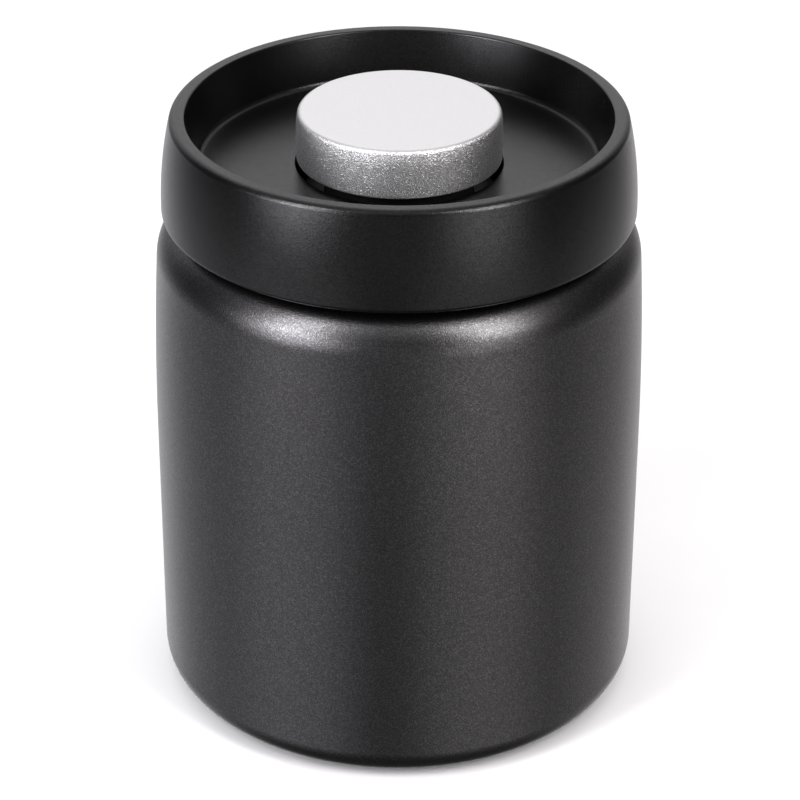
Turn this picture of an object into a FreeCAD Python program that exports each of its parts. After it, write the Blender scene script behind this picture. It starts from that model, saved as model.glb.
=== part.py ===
import FreeCAD, Part
import math
import os
import re
import Sketcher

# Vacuum seal canister: a drawn steel vessel with a plug lid. Pressing the button pumps air out through
# a cup-seal piston, and turning it opens a disc valve that lets the air back in.
# Millimetres, +Z up, origin on the floor under the middle of the vessel.

doc = FreeCAD.newDocument("vacuum_seal_canister")
sheet = doc.addObject("Spreadsheet::Sheet", "Sizes")

SIZES = {
    # Vessel
    "body_radius": 52.5,
    "steel_wall": 0.9,
    "base_round": 7.0,
    "foot_width": 3.0,
    "foot_rise": 0.5,
    "wall_height": 61.4,
    "shoulder_bend_radius": 670.0,
    "shoulder_angle": 3.4,
    "shoulder_round": 9.3,
    "neck_inset": 7.03,
    "neck_height": 7.69,
    "neck_bead_radius": 1.0,
    # Soft foot under the vessel
    "pad_thickness": 2.0,
    "pad_gap": 0.3,
    "pad_groove_width": 1.5,
    "pad_groove_depth": 0.6,
    "pad_groove_pitch": 9.0,
    "pad_groove_count": 3,
    # Lid
    "lid_inset": 2.5,
    "lid_bow_radius": 84.0,
    "lid_widest_height": 1.55,
    "lid_gap": 1.62,
    "rim_width": 3.05,
    "rim_outer_round": 0.9,
    "rim_inner_round": 0.7,
    "lid_edge_round": 1.2,
    "skirt_wall": 2.2,
    "skirt_taper": 0.9,
    "dish_depth": 11.0,
    "dish_taper": 2.4,
    "dish_wall": 2.0,
    "dish_corner_round": 0.8,
    "floor_thickness": 2.2,
    "rim_hollow_rise": 2.5,
    "well_gap": 0.8,
    "well_edge_round": 0.4,
    "collar_wall": 1.8,
    "collar_depth": 7.0,
    "boss_height": 5.5,
    "boss_wall": 2.0,
    # Button
    "button_radius": 21.5,
    "button_height": 10.58,
    "button_lift": 1.1,
    "button_round": 2.0,
    "button_edge_round": 0.4,
    "cap_wall": 1.5,
    "cap_top": 2.0,
    "stroke": 7.5,
    "bottoming_gap": 0.6,
    "fit_gap": 0.05,
    # Plunger and piston
    "plunger_show": 0.3,
    "plunger_skirt": 1.8,
    "plunger_top": 2.5,
    "piston_step": 2.7,
    "tube_wall": 2.2,
    "piston_gap": 0.4,
    "piston_flange": 1.4,
    "seal_height": 2.4,
    "seal_base": 0.9,
    "seal_lip": 0.7,
    "seal_gap": 0.1,
    "seal_clamp_width": 1.5,
    "spigot_wall": 1.2,
    "retainer_thickness": 1.4,
    "retainer_inset": 0.5,
    # Square drive from the button to the release disc
    "stem_side": 4.8,
    "stem_grip": 6.0,
    "stem_boss_wall": 1.6,
    "stem_engagement": 3.0,
    "stem_chamfer": 0.5,
    "socket_gap": 0.1,
    "socket_floor": 1.5,
    "socket_end_gap": 0.5,
    "hub_rise": 10.0,
    "hub_wall": 2.0,
    "hub_gap": 0.08,
    "hub_seal_height": 1.0,
    "hub_seal_depth": 0.9,
    "hub_seal_gap": 0.03,
    "clip_thickness": 0.8,
    "clip_depth": 0.8,
    "clip_width": 1.4,
    "clip_gap": 0.1,
    "clip_mouth": 7.0,
    # Release disc and its vent
    "disc_gap": 0.3,
    "disc_thickness": 1.8,
    "disc_edge_gap": 0.6,
    "disc_spoke_angle": 20.0,
    "disc_window_count": 3,
    "disc_window_margin": 2.0,
    "release_angle": 60.0,
    "vent_radius": 1.6,
    "vent_seal_width": 1.4,
    "vent_seal_depth": 0.9,
    "vent_seal_gap": 0.05,
    # Pump barrel, its floor plate and the valve on it
    "barrel_gap": 1.9,
    "barrel_wall": 2.2,
    "stop_thickness": 1.8,
    "stop_step": 1.1,
    "stop_gap": 0.3,
    "plate_thickness": 2.2,
    "plate_fit_gap": 0.2,
    "inlet_radius": 1.6,
    "inlet_count": 6,
    "flap_thickness": 0.8,
    "flap_gap": 0.4,
    "flap_edge_gap": 1.5,
    # Return spring and its seat
    "seat_thickness": 1.0,
    "seat_collar_wall": 0.8,
    "seat_collar_height": 1.5,
    "seat_margin": 0.5,
    "wire_radius": 0.6,
    "coil_gap": 0.3,
    "coil_end_gap": 0.6,
    "coil_count": 7,
    # Plug and its gasket
    "seat_gap": 0.3,
    "flange_thickness": 1.8,
    "flange_gap": 0.5,
    "plug_gap": 1.2,
    "plug_wall": 2.4,
    "plug_taper": 1.5,
    "plug_taper_height": 3.0,
    "plug_edge_round": 0.6,
    "gasket_drop": 2.0,
    "gasket_height": 3.4,
    "gasket_depth": 2.0,
    "gasket_lip_gap": 0.25,
    "gasket_lip_edge": 0.4,
    "plate_skirt": 1.6,
    "shelf_width": 7.0,
    "shelf_thickness": 5.0,
    "plate_seal_inset": 0.8,
    "plate_seal_width": 1.4,
    "plate_seal_depth": 1.0,
    "lug_inset": 4.0,
    "lug_thickness": 2.6,
    "lug_half_width": 3.6,
    # Screws
    "screw_radius": 1.1,
    "screw_gap": 0.3,
    "screw_head_radius": 2.1,
    "screw_head_height": 1.5,
    "screw_key_radius": 1.0,
    "screw_key_depth": 0.8,
    "screw_bite": 4.0,
    "screw_end_gap": 0.3,
    "plug_screw_count": 4,
    "pump_screw_count": 6,
    # Filter under the plug
    "grille_height": 6.0,
    "grille_wall": 1.4,
    "grille_floor": 1.4,
    "grille_gap": 0.5,
    "grille_edge_round": 0.6,
    "grille_slot_half_width": 1.0,
    "grille_slot_margin": 3.0,
    "grille_slot_count": 20,
    "grille_rib_width": 2.5,
    "screen_thickness": 0.3,
    "rib_wall": 1.3,
    "rib_height": 1.2,
    # Overrun of every cut past the face that it opens
    "overrun": 1.0,
}

for row, (alias, number) in enumerate(SIZES.items(), start=1):
    sheet.set(f"A{row}", alias)
    sheet.set(f"B{row}", str(number))
    sheet.setAlias(f"B{row}", alias)
doc.recompute()


def bound(text):
    """An expression in aliases, as the document's expression engine reads it."""
    return re.sub(r"[a-z_]+", lambda m: f"Sizes.{m[0]}" if m[0] in SIZES else m[0], text)


def value(text):
    """The present value of an expression in aliases."""
    return float(sheet.evalExpression(bound(text)))


# Radii and heights that several pieces share, from the floor up and from the vessel inwards
SHOULDER = "(foot_rise + wall_height)"
ROUND_R = (
    "(body_radius - shoulder_bend_radius"
    " + (shoulder_bend_radius - shoulder_round) * cos(shoulder_angle))"
)
ROUND_Z = f"({SHOULDER} + (shoulder_bend_radius - shoulder_round) * sin(shoulder_angle))"
NECK_R = "(body_radius - neck_inset)"
NECK_IN = f"({NECK_R} - steel_wall)"
NECK_FOOT = f"({ROUND_Z} + sqrt(shoulder_round ^ 2 - ({NECK_R} - {ROUND_R}) ^ 2))"
NECK_TOP = f"({NECK_FOOT} + neck_height)"
FOOT_IN = "(body_radius - base_round - foot_width)"
PAD_SEAT_R = f"({FOOT_IN} - pad_thickness + foot_rise)"

LID_R = "(body_radius - lid_inset)"
LID_BOTTOM = f"({NECK_FOOT} + lid_gap)"
LID_WIDEST = f"({LID_BOTTOM} + lid_widest_height)"
FLANGE_BOTTOM = f"({NECK_TOP} + seat_gap)"
FLOOR_UNDER = f"({FLANGE_BOTTOM} + flange_thickness)"
FLOOR = f"({FLOOR_UNDER} + floor_thickness)"
LID_TOP = f"({FLOOR} + dish_depth)"
BOW_R = f"({LID_R} - lid_bow_radius)"
RIM_OUT = f"({BOW_R} + sqrt(lid_bow_radius ^ 2 - ({LID_TOP} - {LID_WIDEST}) ^ 2))"
EDGE_R = f"({BOW_R} + sqrt(lid_bow_radius ^ 2 - lid_widest_height ^ 2))"
RIM_IN = f"({RIM_OUT} - rim_width)"
DISH_R = f"({RIM_IN} - dish_taper)"
WELL_R = "(button_radius + well_gap)"
BARREL_R = f"({WELL_R} - barrel_gap)"
BORE_R = f"({BARREL_R} - barrel_wall)"
TUBE_R = f"({BORE_R} - piston_step)"

CAP_BOTTOM = f"({FLOOR} + button_lift)"
CAP_TOP = f"({CAP_BOTTOM} + button_height)"
CAP_IN = "(button_radius - cap_wall)"
PLUNGER_R = f"({CAP_IN} - fit_gap)"
PLUNGER_TOP = f"({CAP_TOP} - cap_top)"
PLUNGER_STEP = f"({CAP_BOTTOM} - plunger_show)"
CEILING = f"({PLUNGER_TOP} - plunger_top)"
TUBE_IN = f"({TUBE_R} - tube_wall)"
SPIGOT_R = f"({TUBE_IN} + spigot_wall)"
CLAMP_R = f"({SPIGOT_R} + seal_clamp_width)"
PISTON_R = f"({BORE_R} - piston_gap)"

BARREL_TOP = f"({CAP_BOTTOM} - stroke - bottoming_gap)"
STOP_R = f"({BORE_R} + stop_step)"
STOP_BOTTOM = f"({BARREL_TOP} - stop_thickness)"
PISTON_TOP = f"({STOP_BOTTOM} - stop_gap)"
SEAL_TOP = f"({PISTON_TOP} - piston_flange)"
SEAL_BOTTOM = f"({SEAL_TOP} - seal_height)"
PISTON_BOTTOM = f"({SEAL_BOTTOM} - retainer_thickness)"
PLATE_TOP = f"({PISTON_BOTTOM} - stroke - bottoming_gap - flap_thickness)"
FLAP_TOP = f"({PLATE_TOP} + flap_thickness)"
PLATE_BOTTOM = f"({PLATE_TOP} - plate_thickness)"

FLANGE_R = f"({LID_R} - skirt_wall - skirt_taper - flange_gap)"
PLUG_R = f"({NECK_IN} - plug_gap)"
GROOVE_R = f"({PLUG_R} - gasket_depth)"
GROOVE_TOP = f"({FLANGE_BOTTOM} - gasket_drop)"
GROOVE_BOTTOM = f"({GROOVE_TOP} - gasket_height)"
PLUG_IN = f"({GROOVE_R} - plug_wall)"
PLUG_LOW_R = f"({PLUG_R} - plug_taper)"
PLATE_R = f"({PLUG_LOW_R} - plate_skirt - plate_fit_gap)"
SHELF_IN = f"({PLATE_R} - shelf_width)"
SHELF_TOP = f"({PLATE_TOP} + shelf_thickness)"
PLATE_SEAL_IN = f"({SHELF_IN} + plate_seal_inset)"
PLATE_SEAL_OUT = f"({PLATE_SEAL_IN} + plate_seal_width)"
LUG_CIRCLE = f"({PLUG_IN} - lug_inset)"
LUG_TOP = f"({FLOOR_UNDER} - boss_height)"
LUG_BOTTOM = f"({LUG_TOP} - lug_thickness)"
PUMP_SCREW_CIRCLE = f"(({PLATE_SEAL_OUT} + {PLATE_R}) / 2)"

GRILLE_R = f"({PUMP_SCREW_CIRCLE} - screw_head_radius - grille_gap)"
GRILLE_IN = f"({GRILLE_R} - grille_wall)"
GRILLE_BOTTOM = f"({PLATE_BOTTOM} - grille_height)"
SCREEN_BOTTOM = f"({GRILLE_BOTTOM} + grille_floor)"
RIB_OUT = f"({GRILLE_IN} - fit_gap)"
RIB_IN = f"({RIB_OUT} - rib_wall)"

SOCKET_HALF = "(stem_side / 2 + socket_gap)"
HUB_R = f"({SOCKET_HALF} * sqrt(2) + hub_wall)"
HUB_BORE = f"({HUB_R} + hub_gap)"
HUB_TOP = f"({PLATE_TOP} + hub_rise)"
STEM_BOTTOM = f"({HUB_TOP} - stem_engagement)"
SOCKET_BOTTOM = f"({STEM_BOTTOM} - stroke - socket_end_gap)"
HUB_BOTTOM = f"({SOCKET_BOTTOM} - socket_floor)"
HUB_SEAL_BOTTOM = f"({PLATE_BOTTOM} + (plate_thickness - hub_seal_height) / 2)"
HUB_SEAL_TOP = f"({HUB_SEAL_BOTTOM} + hub_seal_height)"
HUB_SEAL_IN = f"({HUB_R} - hub_seal_depth)"
CLIP_BOTTOM = f"({PLATE_TOP} + clip_gap)"
CLIP_TOP = f"({CLIP_BOTTOM} + clip_thickness)"
CLIP_IN = f"({HUB_R} - clip_depth)"
CLIP_OUT = f"({HUB_R} + clip_width)"
DISC_R = f"({RIB_IN} - disc_edge_gap)"
DISC_TOP = f"({PLATE_BOTTOM} - disc_gap)"
DISC_BOTTOM = f"({DISC_TOP} - disc_thickness)"
VENT_CIRCLE = f"(({BARREL_R} + {DISC_R}) / 2)"
VENT_SEAL_R = "(vent_radius + vent_seal_width)"
VENT_SEAL_TOP = f"({PLATE_BOTTOM} + vent_seal_depth)"

FLAP_IN = f"({CLIP_OUT} + flap_gap)"
FLAP_OUT = f"({BORE_R} - flap_edge_gap)"
SEAT_COLLAR_R = f"({FLAP_IN} + seat_collar_wall)"
COIL_R = f"({SEAT_COLLAR_R} + coil_gap + wire_radius)"
SEAT_OUT = f"({COIL_R} + wire_radius + seat_margin)"
SEAT_TOP = f"({FLAP_TOP} + seat_thickness)"
INLET_CIRCLE = f"(({SEAT_OUT} + {FLAP_OUT}) / 2)"


def origin_feature(body, role):
    """The body's own origin plane or axis of that role."""
    return next(f for f in body.Origin.OriginFeatures if f.Role == role)


def new_body(label):
    body = doc.addObject("PartDesign::Body", label)
    body.Label = label
    return body


def new_sketch(body, name, role="XZ_Plane", height="0"):
    """A sketch on one of the body's origin planes, lifted to a height."""
    sketch = body.newObject("Sketcher::SketchObject", f"{body.Name}_{name}")
    sketch.AttachmentSupport = [(origin_feature(body, role), "")]
    sketch.MapMode = "FlatFace"
    if height != "0":
        sketch.setExpression("AttachmentOffset.Base.z", bound(height))
    return sketch


def pin_coordinate(sketch, kind, axis, geometry, position, text):
    """Bind one coordinate of a sketch point to an expression."""
    number = value(text)
    if abs(number) < 1e-9:
        sketch.addConstraint(Sketcher.Constraint("PointOnObject", geometry, position, axis))
    elif number > 0:
        index = sketch.addConstraint(Sketcher.Constraint(kind, -1, 1, geometry, position, number))
        sketch.setExpression(f"Constraints[{index}]", bound(text))
    else:
        index = sketch.addConstraint(Sketcher.Constraint(kind, geometry, position, -1, 1, -number))
        sketch.setExpression(f"Constraints[{index}]", bound(f"-({text})"))


def pin_point(sketch, geometry, position, across, up, free=""):
    """Bind a sketch point's two coordinates, apart from one that is left free."""
    if free != "across":
        pin_coordinate(sketch, "DistanceX", -2, geometry, position, across)
    if free != "up":
        pin_coordinate(sketch, "DistanceY", -1, geometry, position, up)


def line_to(across, up):
    return (across, up, None, "")


def arc_to(across, up, centre, free):
    """An arc about a centre. One coordinate of its end is left free, because the circle settles it."""
    return (across, up, centre, free)


def outline(sketch, steps):
    """A closed outline of lines and arcs through points written as expressions."""
    points = [FreeCAD.Vector(value(across), value(up), 0) for across, up, centre, free in steps]
    ends = []
    for index, (across, up, centre, free) in enumerate(steps):
        start, end = points[index - 1], points[index]
        if centre is None:
            sketch.addGeometry(Part.LineSegment(start, end))
            ends.append((1, 2))
            continue
        middle = FreeCAD.Vector(value(centre[0]), value(centre[1]), 0)
        turns_left = (start - middle).cross(end - middle).z > 0
        first, last = (start, end) if turns_left else (end, start)
        circle = Part.Circle(middle, FreeCAD.Vector(0, 0, 1), (first - middle).Length)
        sketch.addGeometry(Part.ArcOfCircle(circle, circle.parameter(first), circle.parameter(last)))
        ends.append((1, 2) if turns_left else (2, 1))
    for index in range(len(steps)):
        following = (index + 1) % len(steps)
        joint = (index, ends[index][1], following, ends[following][0])
        sketch.addConstraint(Sketcher.Constraint("Coincident", *joint))
    for index, (across, up, centre, free) in enumerate(steps):
        pin_point(sketch, index, ends[index][1], across, up, free)
        if centre is not None:
            pin_point(sketch, index, 3, *centre)


def polygon(points):
    return [line_to(across, up) for across, up in points]


def ring_outline(inner, outer, bottom, top):
    return polygon([(inner, bottom), (outer, bottom), (outer, top), (inner, top)])


def turn(body, name, steps):
    """Revolve a closed outline about the vertical axis."""
    sketch = new_sketch(body, f"{name}_outline")
    outline(sketch, steps)
    feature = body.newObject("PartDesign::Revolution", f"{body.Name}_{name}")
    feature.Profile = sketch
    feature.ReferenceAxis = (sketch, ["V_Axis"])
    feature.Angle = 360
    doc.recompute()
    return feature


def turned_body(label, steps):
    body = new_body(label)
    turn(body, "turn", steps)
    return body


def circle_in(sketch, across, up, radius):
    centre = FreeCAD.Vector(value(across), value(up), 0)
    shape = Part.Circle(centre, FreeCAD.Vector(0, 0, 1), value(radius))
    geometry = sketch.addGeometry(shape)
    pin_point(sketch, geometry, 3, across, up)
    index = sketch.addConstraint(Sketcher.Constraint("Radius", geometry, value(radius)))
    sketch.setExpression(f"Constraints[{index}]", bound(radius))


def extrude(body, kind, sketch, length, name):
    """A pad that rises from its sketch, or a pocket that cuts down from it."""
    before = 0 if body.Shape.isNull() else body.Shape.Volume
    feature = body.newObject(f"PartDesign::{kind}", f"{body.Name}_{name}")
    feature.Profile = sketch
    feature.setExpression("Length", bound(length))
    doc.recompute()
    if abs(body.Shape.Volume - before) < 1e-6:
        raise RuntimeError(f"{feature.Name} changes nothing")
    return feature


def round_hole(body, name, across, up, radius, top, depth):
    sketch = new_sketch(body, f"{name}_circle", "XY_Plane", top)
    circle_in(sketch, across, up, radius)
    return extrude(body, "Pocket", sketch, depth, name)


def round_peg(body, name, across, up, radius, bottom, length):
    sketch = new_sketch(body, f"{name}_circle", "XY_Plane", bottom)
    circle_in(sketch, across, up, radius)
    return extrude(body, "Pad", sketch, length, name)


def repeat_round(body, name, originals, count):
    """Repeat features evenly about the vertical axis."""
    pattern = body.newObject("PartDesign::PolarPattern", f"{body.Name}_{name}")
    pattern.Originals = originals
    pattern.Axis = (origin_feature(body, "Z_Axis"), [""])
    pattern.Angle = 360
    pattern.setExpression("Occurrences", bound(count))
    body.Tip = pattern
    doc.recompute()
    return pattern


def round_edges(body, name, radius, places):
    """Fillet the circular edges that lie at these radii and heights."""
    base = body.Tip
    wanted = [(value(r), value(z)) for r, z in places]
    names = []
    for index, edge in enumerate(base.Shape.Edges, start=1):
        if not isinstance(edge.Curve, Part.Circle):
            continue
        place = (edge.Curve.Radius, edge.Curve.Center.z)
        if any(math.dist(place, spot) < 1e-4 for spot in wanted):
            names.append(f"Edge{index}")
    if len(names) < len(wanted):
        raise RuntimeError(f"{body.Label}: {name} finds {len(names)} edges")
    feature = body.newObject("PartDesign::Fillet", f"{body.Name}_{name}")
    feature.Base = (base, names)
    feature.setExpression("Radius", bound(radius))
    doc.recompute()


def canister_shell():
    """Steel vessel: recessed base, straight wall, long lean, round shoulder and beaded neck."""
    long_centre = ("body_radius - shoulder_bend_radius", SHOULDER)
    round_centre = (ROUND_R, ROUND_Z)
    base_centre = ("body_radius - base_round", "foot_rise + base_round")
    inner_foot = f"{ROUND_Z} + sqrt((shoulder_round - steel_wall) ^ 2 - ({NECK_IN} - {ROUND_R}) ^ 2)"

    def knee_height(depth):
        return f"{SHOULDER} + (shoulder_bend_radius - {depth}) * sin(shoulder_angle)"

    def knee_radius(depth):
        return f"{long_centre[0]} + (shoulder_bend_radius - {depth}) * cos(shoulder_angle)"

    steps = [
        line_to("0", "pad_thickness"),
        line_to(PAD_SEAT_R, "pad_thickness"),
        line_to(FOOT_IN, "foot_rise"),
        line_to(base_centre[0], "foot_rise"),
        arc_to("body_radius", base_centre[1], base_centre, "across"),
        line_to("body_radius", SHOULDER),
        arc_to(knee_radius("0"), knee_height("0"), long_centre, "across"),
        arc_to(NECK_R, NECK_FOOT, round_centre, "up"),
        line_to(NECK_R, f"{NECK_TOP} - neck_bead_radius"),
        line_to(NECK_IN, f"{NECK_TOP} - neck_bead_radius"),
        line_to(NECK_IN, inner_foot),
        arc_to(knee_radius("steel_wall"), knee_height("steel_wall"), round_centre, "across"),
        arc_to("body_radius - steel_wall", SHOULDER, long_centre, "across"),
        line_to("body_radius - steel_wall", base_centre[1]),
        arc_to(base_centre[0], "foot_rise + steel_wall", base_centre, "up"),
        line_to(FOOT_IN, "foot_rise + steel_wall"),
        line_to(PAD_SEAT_R, "pad_thickness + steel_wall"),
        line_to("0", "pad_thickness + steel_wall"),
    ]
    body = turned_body("canister_shell", steps)
    bead = new_sketch(body, "bead_outline")
    circle_in(bead, NECK_R, f"{NECK_TOP} - neck_bead_radius", "neck_bead_radius")
    feature = body.newObject("PartDesign::Revolution", "canister_shell_bead")
    feature.Profile = bead
    feature.ReferenceAxis = (bead, ["V_Axis"])
    feature.Angle = 360
    doc.recompute()
    return body


def base_pad():
    """Soft foot in the recess of the base, with ring grooves in its underside."""
    outer = f"({PAD_SEAT_R} - pad_gap)"
    steps = polygon([("0", "pad_thickness"), (outer, "pad_thickness"), (outer, "0")])
    for groove in range(1, SIZES["pad_groove_count"] + 1):
        middle = f"{outer} - {groove} * pad_groove_pitch"
        far = f"{middle} + pad_groove_width / 2"
        near = f"{middle} - pad_groove_width / 2"
        steps += polygon([(far, "0"), (far, "pad_groove_depth"), (near, "pad_groove_depth"), (near, "0")])
    steps += polygon([("0", "0")])
    return turned_body("base_pad", steps)


def lid_shell():
    """Outer lid: bowed side, raised rim, dish, well for the button and screw bosses underneath."""
    hollow_top = f"({FLOOR} + rim_hollow_rise)"
    hollow_in = f"({DISH_R} + dish_wall + dish_taper * rim_hollow_rise / dish_depth)"
    collar_r = f"({WELL_R} + collar_wall)"
    collar_bottom = f"({FLOOR_UNDER} - collar_depth)"
    steps = [
        line_to(WELL_R, FLOOR),
        line_to(DISH_R, FLOOR),
        line_to(RIM_IN, LID_TOP),
        line_to(RIM_OUT, LID_TOP),
        arc_to(EDGE_R, LID_BOTTOM, (BOW_R, LID_WIDEST), "across"),
        line_to(f"{LID_R} - skirt_wall", LID_BOTTOM),
        line_to(f"{LID_R} - skirt_wall - skirt_taper", hollow_top),
        line_to(hollow_in, hollow_top),
        line_to(f"{DISH_R} + dish_wall", FLOOR_UNDER),
        line_to(collar_r, FLOOR_UNDER),
        line_to(collar_r, collar_bottom),
        line_to(WELL_R, collar_bottom),
    ]
    body = turned_body("lid_shell", steps)
    round_edges(body, "rim_outer", "rim_outer_round", [(RIM_OUT, LID_TOP)])
    round_edges(body, "rim_inner", "rim_inner_round", [(RIM_IN, LID_TOP)])
    round_edges(body, "dish_corner", "dish_corner_round", [(DISH_R, FLOOR)])
    round_edges(body, "lower_edge", "lid_edge_round", [(EDGE_R, LID_BOTTOM)])
    round_edges(body, "well_edge", "well_edge_round", [(WELL_R, FLOOR)])
    boss = round_peg(body, "boss", LUG_CIRCLE, "0", "screw_radius + boss_wall", LUG_TOP, "boss_height")
    repeat_round(body, "bosses", [boss], "plug_screw_count")
    pilot_depth = "screw_bite + screw_end_gap"
    pilot_top = f"{LUG_TOP} + {pilot_depth}"
    pilot = round_hole(body, "pilot", LUG_CIRCLE, "0", "screw_radius + fit_gap", pilot_top, pilot_depth)
    repeat_round(body, "pilots", [pilot], "plug_screw_count")
    return body


def button_cap():
    """Aluminium cap: a shallow cup with a soft top edge."""
    steps = polygon([
        ("0", CAP_TOP),
        ("button_radius", CAP_TOP),
        ("button_radius", CAP_BOTTOM),
        (CAP_IN, CAP_BOTTOM),
        (CAP_IN, PLUNGER_TOP),
        ("0", PLUNGER_TOP),
    ])
    body = turned_body("button_cap", steps)
    round_edges(body, "top_edge", "button_round", [("button_radius", CAP_TOP)])
    round_edges(body, "lower_edge", "button_edge_round", [("button_radius", CAP_BOTTOM)])
    return body


def square_in(sketch, half):
    outline(sketch, polygon([
        (half, half),
        (f"-{half}", half),
        (f"-{half}", f"-{half}"),
        (half, f"-{half}"),
    ]))


def plunger():
    """Moulding inside the cap: skirt, spring tube, piston flange, seal spigot and a square socket."""
    skirt_in = f"({PLUNGER_R} - plunger_skirt)"
    boss_r = "(stem_side / sqrt(2) + stem_boss_wall)"
    boss_bottom = f"({CEILING} - stem_grip)"
    steps = polygon([
        ("0", PLUNGER_TOP),
        (PLUNGER_R, PLUNGER_TOP),
        (PLUNGER_R, PLUNGER_STEP),
        (skirt_in, PLUNGER_STEP),
        (skirt_in, CEILING),
        (TUBE_R, CEILING),
        (TUBE_R, PISTON_TOP),
        (PISTON_R, PISTON_TOP),
        (PISTON_R, SEAL_TOP),
        (CLAMP_R, SEAL_TOP),
        (CLAMP_R, f"{SEAL_BOTTOM} + seal_base"),
        (SPIGOT_R, f"{SEAL_BOTTOM} + seal_base"),
        (SPIGOT_R, PISTON_BOTTOM),
        (TUBE_IN, PISTON_BOTTOM),
        (TUBE_IN, CEILING),
        (boss_r, CEILING),
        (boss_r, boss_bottom),
        ("0", boss_bottom),
    ])
    body = turned_body("plunger", steps)
    socket = new_sketch(body, "socket_outline", "XY_Plane", CEILING)
    square_in(socket, "(stem_side / 2 + fit_gap)")
    extrude(body, "Pocket", socket, "stem_grip + overrun", "socket")
    return body


def drive_stem():
    """Square bar from the plunger's ceiling into the hub of the release disc."""
    body = new_body("drive_stem")
    sketch = new_sketch(body, "section", "XY_Plane", STEM_BOTTOM)
    square_in(sketch, "(stem_side / 2)")
    feature = extrude(body, "Pad", sketch, f"{CEILING} - {STEM_BOTTOM}", "bar")
    low = value(STEM_BOTTOM)
    names = [
        f"Edge{index}"
        for index, edge in enumerate(feature.Shape.Edges, start=1)
        if abs(edge.BoundBox.ZMax - low) < 1e-4
    ]
    chamfer = body.newObject("PartDesign::Chamfer", "drive_stem_point")
    chamfer.Base = (feature, names)
    chamfer.setExpression("Size", bound("stem_chamfer"))
    doc.recompute()
    return body


def piston_seal():
    """Cup seal: flat base on the spigot and a lip that opens upwards against the bore."""
    lip_r = f"({BORE_R} - seal_gap)"
    base_top = f"({SEAL_BOTTOM} + seal_base)"
    steps = polygon([
        (SPIGOT_R, SEAL_BOTTOM),
        (f"{lip_r} - seal_lip", SEAL_BOTTOM),
        (lip_r, base_top),
        (lip_r, f"{SEAL_TOP} - fit_gap"),
        (f"{lip_r} - seal_lip / 2", f"{SEAL_TOP} - fit_gap"),
        (f"{lip_r} - seal_lip", base_top),
        (SPIGOT_R, base_top),
    ])
    return turned_body("piston_seal", steps)


def seal_retainer():
    steps = ring_outline(SPIGOT_R, f"{PISTON_R} - retainer_inset", PISTON_BOTTOM, SEAL_BOTTOM)
    return turned_body("seal_retainer", steps)


def stop_ring():
    """Ring in the barrel's mouth, too narrow for the piston flange."""
    steps = ring_outline(f"{TUBE_R} + stop_gap", f"{STOP_R} - fit_gap", STOP_BOTTOM, BARREL_TOP)
    return turned_body("stop_ring", steps)


def pump_body():
    """Barrel on a floor plate, with inlet holes, a vent port, a rib for the grille and screw holes."""
    rib_bottom = f"({PLATE_BOTTOM} - rib_height)"
    steps = polygon([
        (HUB_BORE, PLATE_BOTTOM),
        (RIB_IN, PLATE_BOTTOM),
        (RIB_IN, rib_bottom),
        (RIB_OUT, rib_bottom),
        (RIB_OUT, PLATE_BOTTOM),
        (PLATE_R, PLATE_BOTTOM),
        (PLATE_R, PLATE_TOP),
        (BARREL_R, PLATE_TOP),
        (BARREL_R, BARREL_TOP),
        (STOP_R, BARREL_TOP),
        (STOP_R, STOP_BOTTOM),
        (BORE_R, STOP_BOTTOM),
        (BORE_R, PLATE_TOP),
        (HUB_BORE, PLATE_TOP),
    ])
    body = turned_body("pump_body", steps)
    through = "plate_thickness + 2 * overrun"
    above = f"{PLATE_TOP} + overrun"
    inlet = round_hole(body, "inlet", INLET_CIRCLE, "0", "inlet_radius", above, through)
    repeat_round(body, "inlets", [inlet], "inlet_count")
    screw_hole = round_hole(
        body, "screw_hole", PUMP_SCREW_CIRCLE, "0", "screw_radius + screw_gap", above, through
    )
    repeat_round(body, "screw_holes", [screw_hole], "pump_screw_count")
    round_hole(body, "vent", VENT_CIRCLE, "0", "vent_radius", above, through)
    seal_r = f"{VENT_SEAL_R} + fit_gap"
    round_hole(body, "vent_seat", VENT_CIRCLE, "0", seal_r, VENT_SEAL_TOP, "vent_seal_depth + overrun")
    return body


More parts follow.
